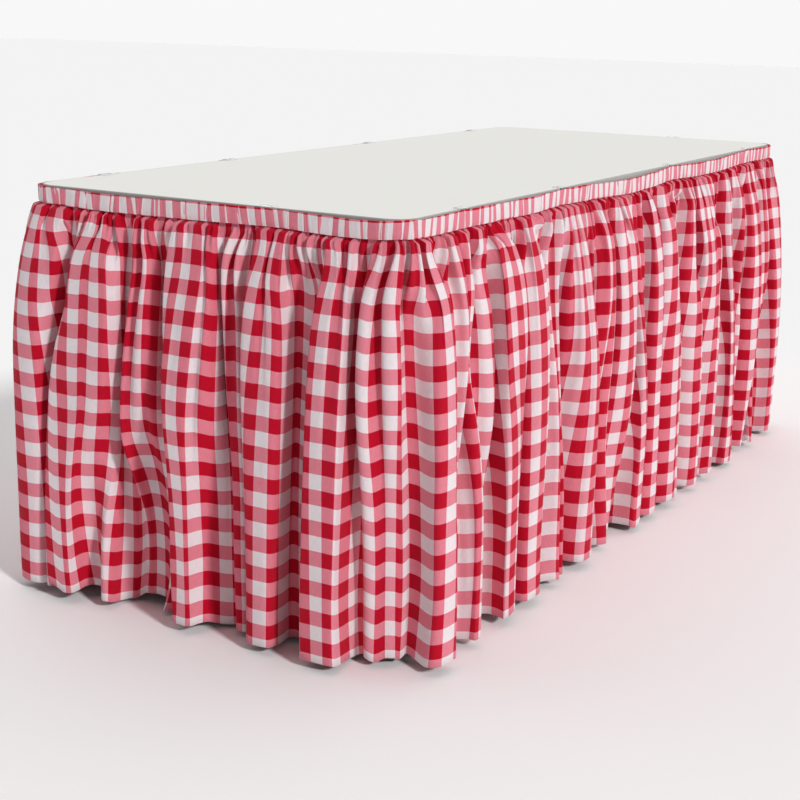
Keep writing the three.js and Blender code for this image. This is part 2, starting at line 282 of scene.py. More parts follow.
# the four sizes of fold: the cloth width of one, how much the widths differ, how strong it is,
# and how far down it fades, or from where to where it grows
gathers = {"width": 0.020, "spread": 0.30, "strong": 1.25, "fade": 0.036, "rest": 0.02}
pinches = {
    "width": 0.062, "spread": 0.28, "strong": 1.05, "fade": 0.10, "rest": 0.06,
    "middle": 0.12, "middleEnds": (0.25, 0.65),  # a second, slower fade
    "lean": 2.4, "leanWidth": 0.10,  # radians of phase that a fold drifts by on its way down
}
fullFolds = {
    "width": 0.138, "spread": 0.42, "strong": 1.0, "start": 0.22, "grows": (0.0, 0.16),
    "lean": 2.2, "leanWidth": 0.21,
    "wander": 0.5, "wanderWidth": 0.3, "wanderFrom": (0.05, 0.4),
}
broadFolds = {
    "width": 0.24, "spread": 0.25, "strong": 0.5, "start": 0.10, "grows": (0.12, 0.62),
    "lean": 1.5, "leanWidth": 0.4,
}

folds = {
    "ridge": 0.6,  # 0 gives even waves, towards 1 gives broad ridges and narrow valleys
    "steep": 1.5,  # 0 gives round folds, more gives flatter ridges with steeper sides
    "ridgeGain": 1.15,  # makes up for the bend that the flat ridges take away
    "vary": 0.6, "varyBroad": 0.7,  # how unequal neighbouring folds are
    "largestBend": 1.85,  # radians away from lying straight along the table's edge
    "tries": (0.4, 3.4, 18),  # weakest and strongest bends tried, and how many tries in all
    "shareWindow": 0.17,  # cloth over which each row keeps to its share of the way round
    "outWindow": 0.15,  # cloth over which the folds stay centred in and out
    "topSway": 0.45,  # how far the cloth may shift sideways right at the stitching
    "columnStep": 0.0028,
    "tuck": 0.004,  # cloth hidden behind the heading's lower edge
    "looseDepth": 0.011,  # the stitching holds the gathers flat down to here
    "heldBack": 0.0014, "heldFront": 0.0022,  # where valleys and ridges lie at the stitching
    "looseBack": 0.0022, "looseFront": 0.0115,  # and how much further out just below it
    "swellDepth": 0.155,  # how soon below the heading the folds open out
    "valley": -0.008,  # how far out the valleys hang; below nothing is under the top's edge
    "widen": 1.7,  # the folds are widened by this before they are pressed into their room
    "sway": 0.006,  # slow in and out of the whole skirt
    "pastFlare": 0.006,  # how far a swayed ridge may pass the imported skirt's wall
    "lap": 0.035,  # the end of the skirt laps over its start by this much
    "calm": (0.035, 0.13),  # distance from the opening over which the folds come back
    "calmLeast": 0.14,  # share of their depth left at the opening itself
    "lapShift": 0.22,  # how far the two ends move apart there, in and out
    "lapReach": (0.16, 0.03),
    "ease": 0.006,  # extra drop taken up where the cloth slopes outwards
    "sideSlope": 0.6,  # share of the sideways slope that shortens the drop
    "leastFall": 0.55,  # a row falls at least this share of its length
    "hemWaver": 0.003,
    "hemFollow": 0.6,  # share of the heading's sag that the hem makes up for
    "hemRuns": (0.1, 0.7),  # how far down these two come in
    "hemDepth": 0.013,
    "hemTurn": 0.0004,  # how far the turned edge hangs below the last row
    "hemGap": 0.0014,  # between the cloth and the hem turned up behind it
    "floorGap": 0.004,
}


def wavePhase(cloth, kind, seed):
    # phase of waves whose widths differ, each near the width of its kind
    source = np.random.default_rng(seed)
    count = int(cloth[-1] / kind["width"] * 1.6) + 8
    widths = kind["width"] * np.exp(source.normal(0, kind["spread"], count))
    knots = np.concatenate([[0], np.cumsum(widths)])
    return np.interp(cloth, knots, 2 * math.pi * np.arange(len(knots)))


def ridged(phase):
    # a wave of slope: level over the broad ridges and in the narrower valleys, steep between them
    wave = np.sin(phase + folds["ridge"] * np.sin(phase))
    return wave * np.abs(wave) ** folds["steep"]


def rowDepths(drop):
    # how far down the cloth each row lies, close together where the gathers are small
    steps = [0.0022] * 12 + [0.0045] * 14 + [0.009] * 10
    depths = [-folds["tuck"], 0.0]
    for step in steps:
        depths.append(depths[-1] + step)
    left = drop - depths[-1]
    count = round(left / 0.0125)
    depths += [depths[-1] + left * (i + 1) / count for i in range(count)]
    return np.array(depths)


def rampTo(depth, start, end):
    # an eased climb from 0 at start to 1 at end
    share = np.clip((depth - start) / (end - start), 0, 1)
    return share * share * (3 - 2 * share)


def limited(bend):
    # no fold leans back over itself by more than its largest bend
    return folds["largestBend"] * np.tanh(bend / folds["largestBend"])


def skirtRows():
    # way round, distance out and height of every point of the gathered drop
    clothWidth = (wayRound + folds["lap"]) * gingham["fullness"]
    cloth = np.arange(0, clothWidth, folds["columnStep"])
    drop = size["headerLow"] - size["hemZ"] + folds["ease"]
    depth = rowDepths(drop)
    rows, columns = len(depth), len(cloth)
    d = depth[:, None]
    step = folds["columnStep"]
    knot = 1 / step

    def leaning(kind, seed):
        # folds lean one way or the other in straight lines, as hanging cloth does
        return kind["lean"] * smoothNoise(1, columns, 1, kind["leanWidth"] * knot, seed) * d / drop

    gather = wavePhase(cloth, gathers, 11)[None, :]
    pinch = wavePhase(cloth, pinches, 12)[None, :] + leaning(pinches, 21)
    fold = wavePhase(cloth, fullFolds, 13)[None, :] + leaning(fullFolds, 22)
    wander = smoothNoise(rows, columns, 26, fullFolds["wanderWidth"] * knot, 26)
    fold = fold + fullFolds["wander"] * wander * rampTo(d, *fullFolds["wanderFrom"])
    broad = wavePhase(cloth, broadFolds, 14)[None, :] + leaning(broadFolds, 25)
    vary = 1 + folds["vary"] * smoothNoise(rows, columns, 26, 0.08 * knot, 23)
    varyBroad = 1 + folds["varyBroad"] * smoothNoise(rows, columns, 34, 0.15 * knot, 24)
    down = np.clip(d, 0, 1)
    gatherShare = (gathers["strong"] * np.exp(-down / gathers["fade"]) + gathers["rest"]) * vary
    slowFade = pinches["middle"] * (1 - rampTo(d, *pinches["middleEnds"]))
    pinchShare = (pinches["strong"] * np.exp(-down / pinches["fade"]) + slowFade + pinches["rest"]) * vary
    foldShare = (fullFolds["start"] + fullFolds["strong"] * rampTo(d, *fullFolds["grows"])) * varyBroad
    broadShare = broadFolds["start"] + broadFolds["strong"] * rampTo(d, *broadFolds["grows"])
    ridges = pinchShare * ridged(pinch) + foldShare * ridged(fold)
    lean = gatherShare * np.sin(gather) + folds["ridgeGain"] * ridges
    lean = lean + broadShare * np.sin(broad)

    # the strength of the bends is set so that the cloth covers just its share of the way round
    window = int(folds["shareWindow"] / step)
    tries = np.linspace(*folds["tries"])
    cover = np.stack([blur(np.cos(limited(t * lean)), window) for t in tries])
    target = 1 / gingham["fullness"]
    strength = np.full(lean.shape, tries[-1])
    for low in range(len(tries) - 1, 0, -1):
        before, after = cover[low - 1], cover[low]
        crosses = (before >= target) & (after < target)
        share = (before - target) / np.maximum(before - after, 1e-6)
        strength = np.where(crosses, tries[low - 1] + share * (tries[1] - tries[0]), strength)
    strength = blur(strength, window // 2)
    bend = limited(strength * lean)

    way = np.cumsum(np.cos(bend), axis=1) * step
    way = way - blur(way - cloth[None, :] * target, window)
    out = np.cumsum(np.sin(bend), axis=1) * step
    out = out - blur(out, int(folds["outWindow"] / step))
    freed = folds["topSway"] + (1 - folds["topSway"]) * rampTo(d, -folds["tuck"], 0.02)
    way = cloth[None, :] * target + (way - cloth[None, :] * target) * freed
    return cloth, depth, way, out


def hangSkirt():
    # places the gathered rows round the table, flared out below the heading and clear of the floor
    cloth, depth, way, out = skirtRows()
    d = depth[:, None]
    rows, columns = way.shape
    knot = 1 / folds["columnStep"]
    limit = size["flare"]
    swell = 1 - np.exp(-np.clip(d, 0, 1) / folds["swellDepth"])
    loose = rampTo(d, 0.0, folds["looseDepth"])
    looseValley = folds["heldBack"] + folds["looseBack"]
    looseRidge = folds["heldFront"] + folds["looseFront"]
    valley = folds["heldBack"] + folds["looseBack"] * loose + (folds["valley"] - looseValley) * swell
    ridge = folds["heldFront"] + folds["looseFront"] * loose + (limit - looseRidge) * swell
    middle = (valley + ridge) / 2
    reach = (ridge - valley) / 2
    sway = folds["sway"] * smoothNoise(rows, columns, 24, 0.5 * knot, 31)
    middle = middle + sway * rampTo(d, 0.05, 0.3)
    out = middle + reach * np.tanh(out / np.maximum(reach, 1e-4) * folds["widen"])
    # at the opening the folds flatten out, the start lying behind the end that laps over it
    fromStart = cloth[None, :] / gingham["fullness"]
    fromEnd = fromStart[:, -1:] - fromStart
    calm = rampTo(fromStart, *folds["calm"]) * rampTo(fromEnd, *folds["calm"])
    apart = rampTo(fromEnd, *folds["lapReach"]) - rampTo(fromStart, *folds["lapReach"])
    shift = folds["lapShift"] * reach * apart
    out = middle + (out - middle) * (folds["calmLeast"] + (1 - folds["calmLeast"]) * calm) + shift
    out = np.minimum(out, limit + folds["pastFlare"])
    # each column keeps its length, so it drops less where it slopes outwards or sideways
    length = np.diff(depth)[:, None]
    slope = np.diff(out, axis=0) ** 2 + (folds["sideSlope"] * np.diff(way, axis=0)) ** 2
    fall = np.sqrt(np.maximum(length ** 2 - slope, (folds["leastFall"] * length) ** 2))
    fallen = np.concatenate([np.full((1, columns), -folds["tuck"]), np.cumsum(fall, axis=0) - folds["tuck"]])
    sag = headingSag(way[1])
    top = size["headerLow"] - sag
    hemNoise = folds["hemWaver"] * smoothNoise(1, columns, 1, 0.5 * knot, 32)
    share = rampTo(d, *folds["hemRuns"])
    z = top[None, :] - blur(fallen, 2) + hemNoise * share + folds["hemFollow"] * sag[None, :] * share
    return cloth, depth, way, out, np.maximum(z, folds["floorGap"])


def buildSkirt(material):
    cloth, depth, way, out, z = hangSkirt()
    # the hem: the last rows turn up behind the cloth, each lying just off its back
    gap = folds["hemGap"]
    rise = np.array([-folds["hemTurn"], 0.0, 0.005, folds["hemDepth"]])[:, None]
    share = np.clip(rise, 0, None) / (depth[-1] - depth[-2])
    behind = np.array([gap / 2, gap, gap, gap])[:, None]
    below = []
    for values in (way, out, z):
        below.append(values[-1:] + (values[-2:-1] - values[-1:]) * share)
    wayStep = np.gradient(below[0], axis=1)
    outStep = np.gradient(below[1], axis=1)
    length = np.hypot(wayStep, outStep)
    way = np.vstack([way, below[0] + behind * outStep / length])
    out = np.vstack([out, below[1] - behind * wayStep / length])
    z = np.vstack([z, below[2] + np.minimum(rise, 0)])
    hemDown = depth[-1] + np.array([0.0008, 0.0016, 0.0066, 0.0016 + folds["hemDepth"]])
    down = np.concatenate([depth, hemDown])
    x, y = placeOnPath(way, out)
    across = np.broadcast_to(cloth[None, :], x.shape)
    downAll = np.broadcast_to(down[:, None], x.shape)
    pieces = []
    breaks = np.linspace(0, len(cloth) - 1, gingham["widths"] + 1).astype(int)
    for number in range(gingham["widths"]):
        cut = slice(breaks[number], breaks[number + 1] + 1)
        parts = [values[:, cut] for values in (x, y, z, across, downAll)]
        piece = makeSheet(f"skirtWidth{number + 1}", *parts, material)
        flat = (cloth[cut][-1] - cloth[cut][0], down[-1] - down[0])
        pieces.append((piece, flat))
    return pieces


def buildHeading(material):
    # the flat-pleated heading: each pleat runs forward, folds under and starts the next
    source = np.random.default_rng(41)
    way, level, cloth = [0.0], [0.0], [0.0]
    while way[-1] < wayRound - 0.02:
        factor = math.exp(source.normal(0, heading["pleatSpread"]))
        width = heading["pleat"] * min(max(factor, heading["pleatLeast"]), heading["pleatMost"])
        under = width * (gingham["fullness"] - 1) / 2
        start = way[-1]
        # steps along the pleat's face, and how many layers each lies in front of the back one
        forward = [0.35 * under, under, under + 0.5 * width, under + width - 0.0004]
        heights = [0.0, 0.7, 1.9, 2.2]
        for step, height in zip(forward, heights):
            way.append(start + step)
            level.append(height)
            cloth.append(cloth[-1] + abs(way[-1] - way[-2]))
        way.append(start + under + width)
        level.append(1.7)
        cloth.append(cloth[-1] + 0.0005)
        way.append(start + 0.6 * under + width)
        level.append(1.0)
        cloth.append(cloth[-1] + 0.4 * under)
        way.append(start + width)
        level.append(0.2)
        cloth.append(cloth[-1] + 0.6 * under)
    way = np.array(way)
    way = way * (wayRound / way[-1])
    cloth = np.array(cloth)
    level = np.array(level) * heading["layer"]
    top = size["headerTop"] - size["headerLow"]
    heights = np.array([0.0, 0.001, 0.004, 0.010, 0.016, 0.022, top - 0.0035, top - 0.0012, top])
    rows = len(heights)
    inner = np.zeros(rows)
    back = heading["backGap"]
    turned = np.array([[top + 0.0004, -back / 2], [top, -back], [top - heading["turnDown"], -back]])
    heights = np.concatenate([heights, turned[:, 0]])
    inner = np.concatenate([inner, turned[:, 1]])
    flatUp = np.concatenate([[0], np.cumsum(np.hypot(np.diff(heights), np.diff(inner)))])
    heights, inner, flatUp = heights[::-1], inner[::-1], flatUp[::-1]
    columns = len(way)
    body = size["headerOut"] - heading["frontGap"] - heading["layer"] * 2.2
    puff = heading["puff"] * smoothNoise(len(heights), columns, 4, 9, 42)
    nearStitch = np.exp(-((heights - 0.001) / heading["stitchHeight"]) ** 2)[:, None]
    out = body + level[None, :] + inner[:, None] + puff - nearStitch * heading["stitchPinch"]
    ripple = heading["ripple"] * smoothNoise(1, columns, 1, 11, 43) * (heights[:, None] > 0.02)
    z = size["headerLow"] + heights[:, None] + ripple - headingSag(way)[None, :]
    slant = heading["slant"] * smoothNoise(1, columns, 1, 26, 45)
    x, y = placeOnPath(way[None, :] + (heights[:, None] - top / 2) * slant, out)
    wander = heading["checkWander"] * smoothNoise(1, columns, 1, 60, 44)
    down = -flatUp[:, None] * heading["gatherDrop"] + wander
    across = np.broadcast_to(cloth[None, :], out.shape)
    piece = makeSheet("headingBand", x, y, z, across, down, material)
    return piece, (cloth[-1], flatUp[0])


def buildTape(material):
    # the loop tape sewn behind the heading, which sags with it
    way = np.linspace(0, wayRound - 1e-6, 900)
    low = (size["headerLow"] + size["headerTop"] - heading["tapeHeight"]) / 2
    heights = np.linspace(heading["tapeHeight"], 0, 5)[:, None]
    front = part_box("loop_tape")[1].x - size["halfLength"] - heading["tapeGap"]
    out = np.full((len(heights), len(way)), front)
    z = low + heights - headingSag(way)[None, :]
    x, y = placeOnPath(np.broadcast_to(way, out.shape), out)
    across = np.broadcast_to(way[None, :], out.shape)
    piece = makeSheet("loopTape", x, y, z, across, np.broadcast_to(-heights, out.shape), material)
    return piece, (wayRound, heading["tapeHeight"])


def finishPiece(name, mesh, material):
    # shades the piece smooth but for large flat faces and edges that turn sharply
    sharpFrom = math.radians(35)
    bmesh.ops.recalc_face_normals(mesh, faces=mesh.faces)
    for face in mesh.faces:
        face.smooth = True
    for edge in mesh.edges:
        flatSide = any(len(face.verts) > 8 for face in edge.link_faces)
        edge.smooth = not flatSide and edge.calc_face_angle(9) < sharpFrom
    data = bpy.data.meshes.new(name)
    mesh.to_mesh(data)
    mesh.free()
    data.materials.append(material)
    piece = bpy.data.objects.new(name, data)
    bpy.context.scene.collection.objects.link(piece)
    return piece


topEdge = {
    "arcSteps": 14,  # points round each corner of the top
    "mouldingRound": 0.0018,
    "laminateRound": 0.0003,
    "rimWidth": 0.004,  # how far in from its edge the laminate's flat faces begin
}


def outlineLoop(mesh, offset, z):
    # starts an empty mesh with one loop of points round the top's outline, moved out by offset
    steps = topEdge["arcSteps"]
    ring = bmesh.ops.create_circle(mesh, segments=4 * steps, radius=size["cornerRadius"] + offset)["verts"]
    bmesh.ops.rotate(mesh, verts=ring, cent=(0, 0, 0), matrix=Matrix.Rotation(math.pi / (4 * steps), 3, "Z"))
    for vert in ring:
        vert.co.x += math.copysign(size["halfLength"] - size["cornerRadius"], vert.co.x)
        vert.co.y += math.copysign(size["halfWidth"] - size["cornerRadius"], vert.co.y)
        vert.co.z = z
    return mesh.edges[:]


def roundedSection(inner, outer, low, high, radius):
    # offset and height pairs of a section whose outer corners are rounded
    corners = [(outer - radius, low + radius, -90), (outer - radius, high - radius, 0)]
    points = [(inner, low)]
    for middle, level, start in corners:
        for turn in (0, 22.5, 45, 67.5, 90):
            angle = math.radians(start + turn)
            points.append((middle + radius * math.cos(angle), level + radius * math.sin(angle)))
    return points + [(inner, high)]


def sweepOutline(mesh, section, closed):
    # runs a section of offset and height pairs round the outline; returns its first and last rims
    rim = outlineLoop(mesh, *section[0])
    first = rim
    rest = section[1:] + section[:1] if closed else section[1:]
    for offset, z in rest:
        grown = bmesh.ops.extrude_edge_only(mesh, edges=rim)["geom"]
        fresh = {item for item in grown if isinstance(item, bmesh.types.BMVert)}
        for vert in fresh:
            centre = Vector((
                math.copysign(size["halfLength"] - size["cornerRadius"], vert.co.x),
                math.copysign(size["halfWidth"] - size["cornerRadius"], vert.co.y), 0))
            away = (vert.co - centre).xy.normalized() * (size["cornerRadius"] + offset)
            vert.co = Vector((centre.x + away.x, centre.y + away.y, z))
        rim = [item for item in grown if isinstance(item, bmesh.types.BMEdge) and set(item.verts) <= fresh]
    return first, rim


def makeTopPieces(laminateMaterial, vinylGreyAndShadeMaterial):
    # the laminate sheet as a thin slab with eased edges, and the moulding as a rounded band round it
    low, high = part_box("top_laminate")
    inset = high.x - size["halfLength"]
    section = roundedSection(inset - topEdge["rimWidth"], inset, low.z, high.z, topEdge["laminateRound"])
    slab = bmesh.new()
    for rim in sweepOutline(slab, section, False):
        bmesh.ops.contextual_create(slab, geom=rim)
    sheet = finishPiece("laminateSheet", slab, laminateMaterial)
    low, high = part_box("edge_moulding")
    band = bmesh.new()
    sweepOutline(band, roundedSection(inset + 0.0001, 0.0, low.z, high.z, topEdge["mouldingRound"]), True)
    bmesh.ops.remove_doubles(band, verts=band.verts, dist=0.00001)
    # the moulding's mid grey carries painted shade: the shadow line along the top's edge is painted into it
    moulding = finishPiece("edgeMoulding", band, vinylGreyAndShadeMaterial)
    return sheet, moulding


legFrame = {
    "sides": 40,  # faces round each tube
    "endEase": 0.0008,  # how much the cut ends of the tubes are eased
    "capTaper": 0.0012,
    "capRound": 0.0018,
}


def tubeAxis(node):
    # both ends of a straight round tube and its radius, worked out from its box
    low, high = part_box(node)
    centre = (low + high) / 2
    span = high - low
    if span.y > span.z:
        return centre - Vector((0, span.y / 2, 0)), centre + Vector((0, span.y / 2, 0)), span.z / 2
    radius = span.y / 2
    lean = 0.0
    for _ in range(12):
        lean = math.atan2(span.x - 2 * radius * math.cos(lean), span.z - 2 * radius * math.sin(lean))
    # the foot stands further from the middle of the table than the top of the leg does
    way = math.copysign(1, centre.x)
    half = Vector((way * (span.x / 2 - radius * math.cos(lean)), 0, radius * math.sin(lean) - span.z / 2))
    return centre + half, centre - half, radius


def easedRound(lowRadius, highRadius, length, ease, steps):
    # a round bar along Z, its rims eased in a few steps
    mesh = bmesh.new()
    bmesh.ops.create_cone(mesh, cap_ends=True, segments=legFrame["sides"],
                          radius1=lowRadius, radius2=highRadius, depth=length)
    rims = [edge for edge in mesh.edges if any(len(face.verts) > 4 for face in edge.link_faces)]
    bmesh.ops.bevel(mesh, geom=rims, offset=ease, segments=steps, profile=0.5,
                    affect="EDGES", material=-1)
    return mesh


def makeTube(node, material):
    # a drawn tube with a smooth wall and eased ends, in the place of a faceted one
    start, end, radius = tubeAxis(node)
    mesh = easedRound(radius, radius, (end - start).length, legFrame["endEase"], 2)
    turn = (end - start).to_track_quat("Z", "Y").to_matrix().to_4x4()
    bmesh.ops.transform(mesh, verts=mesh.verts, matrix=Matrix.Translation((start + end) / 2) @ turn)
    return finishPiece(smoothName(node), mesh, material)


def makeFootCap(node, material):
    # a moulded foot: a wide rounded tread that tapers a little upwards
    low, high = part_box(node)
    radius = (high.y - low.y) / 2
    mesh = easedRound(radius, radius - legFrame["capTaper"], high.z - low.z, legFrame["capRound"], 4)
    bmesh.ops.translate(mesh, verts=mesh.verts, vec=(low + high) / 2)
    return finishPiece(smoothName(node), mesh, material)


def smoothName(node):
    # leg_tube_left_front becomes legTubeLeftFront
    words = node.split("_")
    return words[0] + "".join(word.capitalize() for word in words[1:])


def ginghamCloth():
    # yarn-dyed polyester poplin, woven: crisp checks, a mixed pink where red crosses white, soft sheen
    material, tree = newMaterial("wovenGinghamPoplin")
    flat = addNode(tree, "UVMap", uv_map="flatCloth")
    across = addNode(tree, "SeparateXYZ", {0: flat}, 0)
    down = addNode(tree, "SeparateXYZ", {0: flat}, 1)
    stripes, yarns = [], []
    for place in (across, down):
        repeat = addNode(tree, "Math", {0: place, 1: 2 * gingham["check"]}, operation="DIVIDE")
        share = addNode(tree, "Math", {0: repeat}, operation="FRACT")
        stripes.append(addNode(tree, "Math", {0: share, 1: 0.5}, operation="LESS_THAN"))
        turns = addNode(tree, "Math", {0: place, 1: 2 * math.pi / gingham["yarn"]}, operation="MULTIPLY")
        yarns.append(addNode(tree, "Math", {0: turns}, operation="SINE"))
    either = addNode(tree, "Math", {0: stripes[0], 1: stripes[1]}, operation="MAXIMUM")
    both = addNode(tree, "Math", {0: stripes[0], 1: stripes[1]}, operation="MULTIPLY")
    weave = addNode(tree, "Math", {0: yarns[0], 1: yarns[1]}, operation="MULTIPLY")
    light = addNode(tree, "Math", {0: weave, 1: 0.5, 2: 0.5}, operation="MULTIPLY_ADD")
    white = addNode(tree, "Mix", {0: light, 6: linear("#EADCE0"), 7: linear("#F8EEF1")}, 2, data_type="RGBA")
    pink = addNode(tree, "Mix", {0: light, 6: linear("#DE697F"), 7: linear("#F29CA8")}, 2, data_type="RGBA")
    red = addNode(tree, "Mix", {0: light, 6: linear("#B00020"), 7: linear("#D0042C")}, 2, data_type="RGBA")
    paler = addNode(tree, "Mix", {0: either, 6: white, 7: pink}, 2, data_type="RGBA")
    checks = addNode(tree, "Mix", {0: both, 6: paler, 7: red}, 2, data_type="RGBA")
    slubPlace = addNode(tree, "Mapping", {0: flat, 3: (900, 90, 1)})
    slub = addNode(tree, "TexNoise", {"Vector": slubPlace, "Scale": 1.0, "Detail": 2.0})
    tone = addNode(tree, "Math", {0: slub, 1: 0.24, 2: 0.88}, operation="MULTIPLY_ADD")
    toned = addNode(tree, "HueSaturation", {"Value": tone, "Color": checks})
    place = addNode(tree, "TexCoord", output="Object")
    crease = addNode(tree, "TexNoise", {"Vector": place, "Scale": 22.0, "Detail": 4.0, "Roughness": 0.6})
    # sharp little creases run down from the stitching and die out
    runPlace = addNode(tree, "Mapping", {0: flat, 3: (210, 14, 1)})
    pucker = addNode(tree, "TexNoise", {"Vector": runPlace, "Scale": 1.0, "Detail": 3.0})
    fade = addNode(tree, "MapRange", {0: down, 1: 0.0, 2: 0.11, 3: 1.2, 4: 0.12})
    creases = addNode(tree, "Math", {0: pucker, 1: fade, 2: crease}, operation="MULTIPLY_ADD")
    creased = addNode(tree, "Bump", {"Height": creases, "Distance": 0.004, "Strength": 0.42})
    woven = addNode(tree, "Bump", {"Height": weave, "Distance": 0.00025, "Strength": 0.6, "Normal": creased})
    shader = addNode(tree, "BsdfPrincipled", {
        "Base Color": toned, "Normal": woven, "Roughness": 0.8, "Specular IOR Level": 0.15,
        "Sheen Weight": 0.05, "Sheen Roughness": 0.4})
    addNode(tree, "OutputMaterial", {"Surface": shader})
    return material


def plainMaterial(name, colour, roughness, scale, contrast, bump=0.0004):
    # a surface whose tone and gloss wander a little, with a fine relief
    material, tree = newMaterial(name)
    place = addNode(tree, "TexCoord", output="Object")
    noise = addNode(tree, "TexNoise", {"Vector": place, "Scale": scale, "Detail": 5.0, "Roughness": 0.6})
    value = addNode(tree, "Math", {0: noise, 1: contrast, 2: 1 - contrast / 2}, operation="MULTIPLY_ADD")
    toned = addNode(tree, "HueSaturation", {"Value": value, "Color": linear(colour)})
    dullness = addNode(tree, "Math", {0: noise, 1: 0.2, 2: roughness - 0.1}, operation="MULTIPLY_ADD")
    relief = addNode(tree, "Bump", {"Height": noise, "Distance": bump, "Strength": 0.5})
    shader = addNode(tree, "BsdfPrincipled", {"Base Color": toned, "Roughness": dullness, "Normal": relief})
    addNode(tree, "OutputMaterial", {"Surface": shader})
    return material


def clearClip():
    # injection-moulded clear polycarbonate: lets the table show through, with faint flow marks and soft gloss
    material, tree = newMaterial("mouldedClearPolycarbonate")
    place = addNode(tree, "TexCoord", output="Object")
    flow = addNode(tree, "TexNoise", {"Vector": place, "Scale": 160.0, "Detail": 3.0})
    tint = addNode(tree, "Mix", {0: flow, 6: linear("#FAFCFC"), 7: linear("#F2F6F6")}, 2, data_type="RGBA")
    gloss = addNode(tree, "Math", {0: flow, 1: 0.12, 2: 0.08}, operation="MULTIPLY_ADD")
    relief = addNode(tree, "Bump", {"Height": flow, "Distance": 0.00005, "Strength": 0.4})
    shader = addNode(tree, "BsdfPrincipled", {
        "Base Color": tint, "Roughness": gloss, "Normal": relief, "Transmission Weight": 0.96, "IOR": 1.15})
    addNode(tree, "OutputMaterial", {"Surface": shader})
    return material


def plywoodSheet():
    # rotary-cut birch plywood: thin layers of turned grain along its cut edge, long soft figure on its face
    material, tree = newMaterial("rotaryCutBirchPlywood")
    place = addNode(tree, "TexCoord", output="Object")
    height = addNode(tree, "SeparateXYZ", {0: place}, 2)
    layers = addNode(tree, "Math", {0: height, 1: 0.0051}, operation="DIVIDE")
    layer = addNode(tree, "Math", {0: layers}, operation="FRACT")
    turned = addNode(tree, "Math", {0: layer, 1: 0.62}, operation="GREATER_THAN")
    turnedShare = addNode(tree, "Math", {0: turned, 1: 0.55}, operation="MULTIPLY")
    figurePlace = addNode(tree, "Mapping", {0: place, 3: (1.5, 24, 24)})
    figure = addNode(tree, "TexNoise", {
        "Vector": figurePlace, "Scale": 2.0, "Detail": 6.0, "Roughness": 0.65})
    fleckPlace = addNode(tree, "Mapping", {0: place, 3: (60, 900, 900)})
    fleck = addNode(tree, "TexNoise", {"Vector": fleckPlace, "Scale": 1.0, "Detail": 2.0})
    fleckShare = addNode(tree, "Math", {0: fleck, 1: 0.3}, operation="MULTIPLY")
    face = addNode(tree, "Mix", {0: figure, 6: linear("#C39A62"), 7: linear("#E2C591")}, 2, data_type="RGBA")
    edge = addNode(tree, "Mix", {0: turnedShare, 6: face, 7: linear("#8E6236")}, 2, data_type="RGBA")
    wood = addNode(tree, "Mix", {0: fleckShare, 6: edge, 7: linear("#A87844")}, 2, data_type="RGBA")
    dullness = addNode(tree, "Math", {0: figure, 1: 0.2, 2: 0.55}, operation="MULTIPLY_ADD")
    relief = addNode(tree, "Bump", {"Height": fleck, "Distance": 0.0003, "Strength": 0.5})
    shader = addNode(tree, "BsdfPrincipled", {"Base Color": wood, "Roughness": dullness, "Normal": relief})
    addNode(tree, "OutputMaterial", {"Surface": shader})
    return material


def pineRunner():
    # planed softwood: straight dark and light growth lines along the runner, dull dry surface
    material, tree = newMaterial("planedPineRunner")
    place = addNode(tree, "TexCoord", output="Object")
    wanderPlace = addNode(tree, "Mapping", {0: place, 3: (1.2, 12, 12)})
    wander = addNode(tree, "TexNoise", {"Vector": wanderPlace, "Scale": 2.5, "Detail": 3.0})
    linePlace = addNode(tree, "Mapping", {0: place, 3: (0.03, 1, 1)})
    lines = addNode(tree, "TexWave", {
        "Vector": linePlace, "Scale": 60.0, "Distortion": 1.2, "Detail": 2.0, "Detail Scale": 0.25,
    }, 1, wave_type="RINGS", rings_direction="X")
    depth = addNode(tree, "Math", {0: wander, 1: 0.7, 2: 0.4}, operation="MULTIPLY_ADD")
    grain = addNode(tree, "Math", {0: lines, 1: depth}, operation="MULTIPLY")
    wood = addNode(tree, "Mix", {0: grain, 6: linear("#D8B27C"), 7: linear("#A66F38")}, 2, data_type="RGBA")
    dullness = addNode(tree, "Math", {0: wander, 1: 0.2, 2: 0.6}, operation="MULTIPLY_ADD")
    relief = addNode(tree, "Bump", {"Height": grain, "Distance": 0.0003, "Strength": 0.4})
    shader = addNode(tree, "BsdfPrincipled", {"Base Color": wood, "Roughness": dullness, "Normal": relief})
    addNode(tree, "OutputMaterial", {"Surface": shader})
    return material


def powderCoat():
    # oven-baked powder coat on drawn steel tube: fine orange peel, satin gloss, faint scuffs
    material, tree = newMaterial("powderCoatedSteelTube")
    place = addNode(tree, "TexCoord", output="Object")
    # real orange peel is finer; drawn coarser so that it shows
    peel = addNode(tree, "TexNoise", {"Vector": place, "Scale": 850.0, "Detail": 2.0})
    scuffPlace = addNode(tree, "Mapping", {0: place, 3: (40, 40, 6)})
    scuff = addNode(tree, "TexNoise", {"Vector": scuffPlace, "Scale": 3.0, "Detail": 6.0, "Roughness": 0.75})
    rubbed = addNode(tree, "Math", {0: scuff, 1: 0.66}, operation="GREATER_THAN")
    worn = addNode(tree, "Math", {0: rubbed, 1: 0.35}, operation="MULTIPLY")
    paint = addNode(tree, "Mix", {0: worn, 6: linear("#3A3D42"), 7: linear("#5A5D62")}, 2, data_type="RGBA")
    gloss = addNode(tree, "Math", {0: scuff, 1: 0.25, 2: 0.3}, operation="MULTIPLY_ADD")
    relief = addNode(tree, "Bump", {"Height": peel, "Distance": 0.0002, "Strength": 0.5})
    shader = addNode(tree, "BsdfPrincipled", {
        "Base Color": paint, "Roughness": gloss, "Normal": relief,
        "Coat Weight": 0.3, "Coat Roughness": 0.35})
    addNode(tree, "OutputMaterial", {"Surface": shader})
    return material


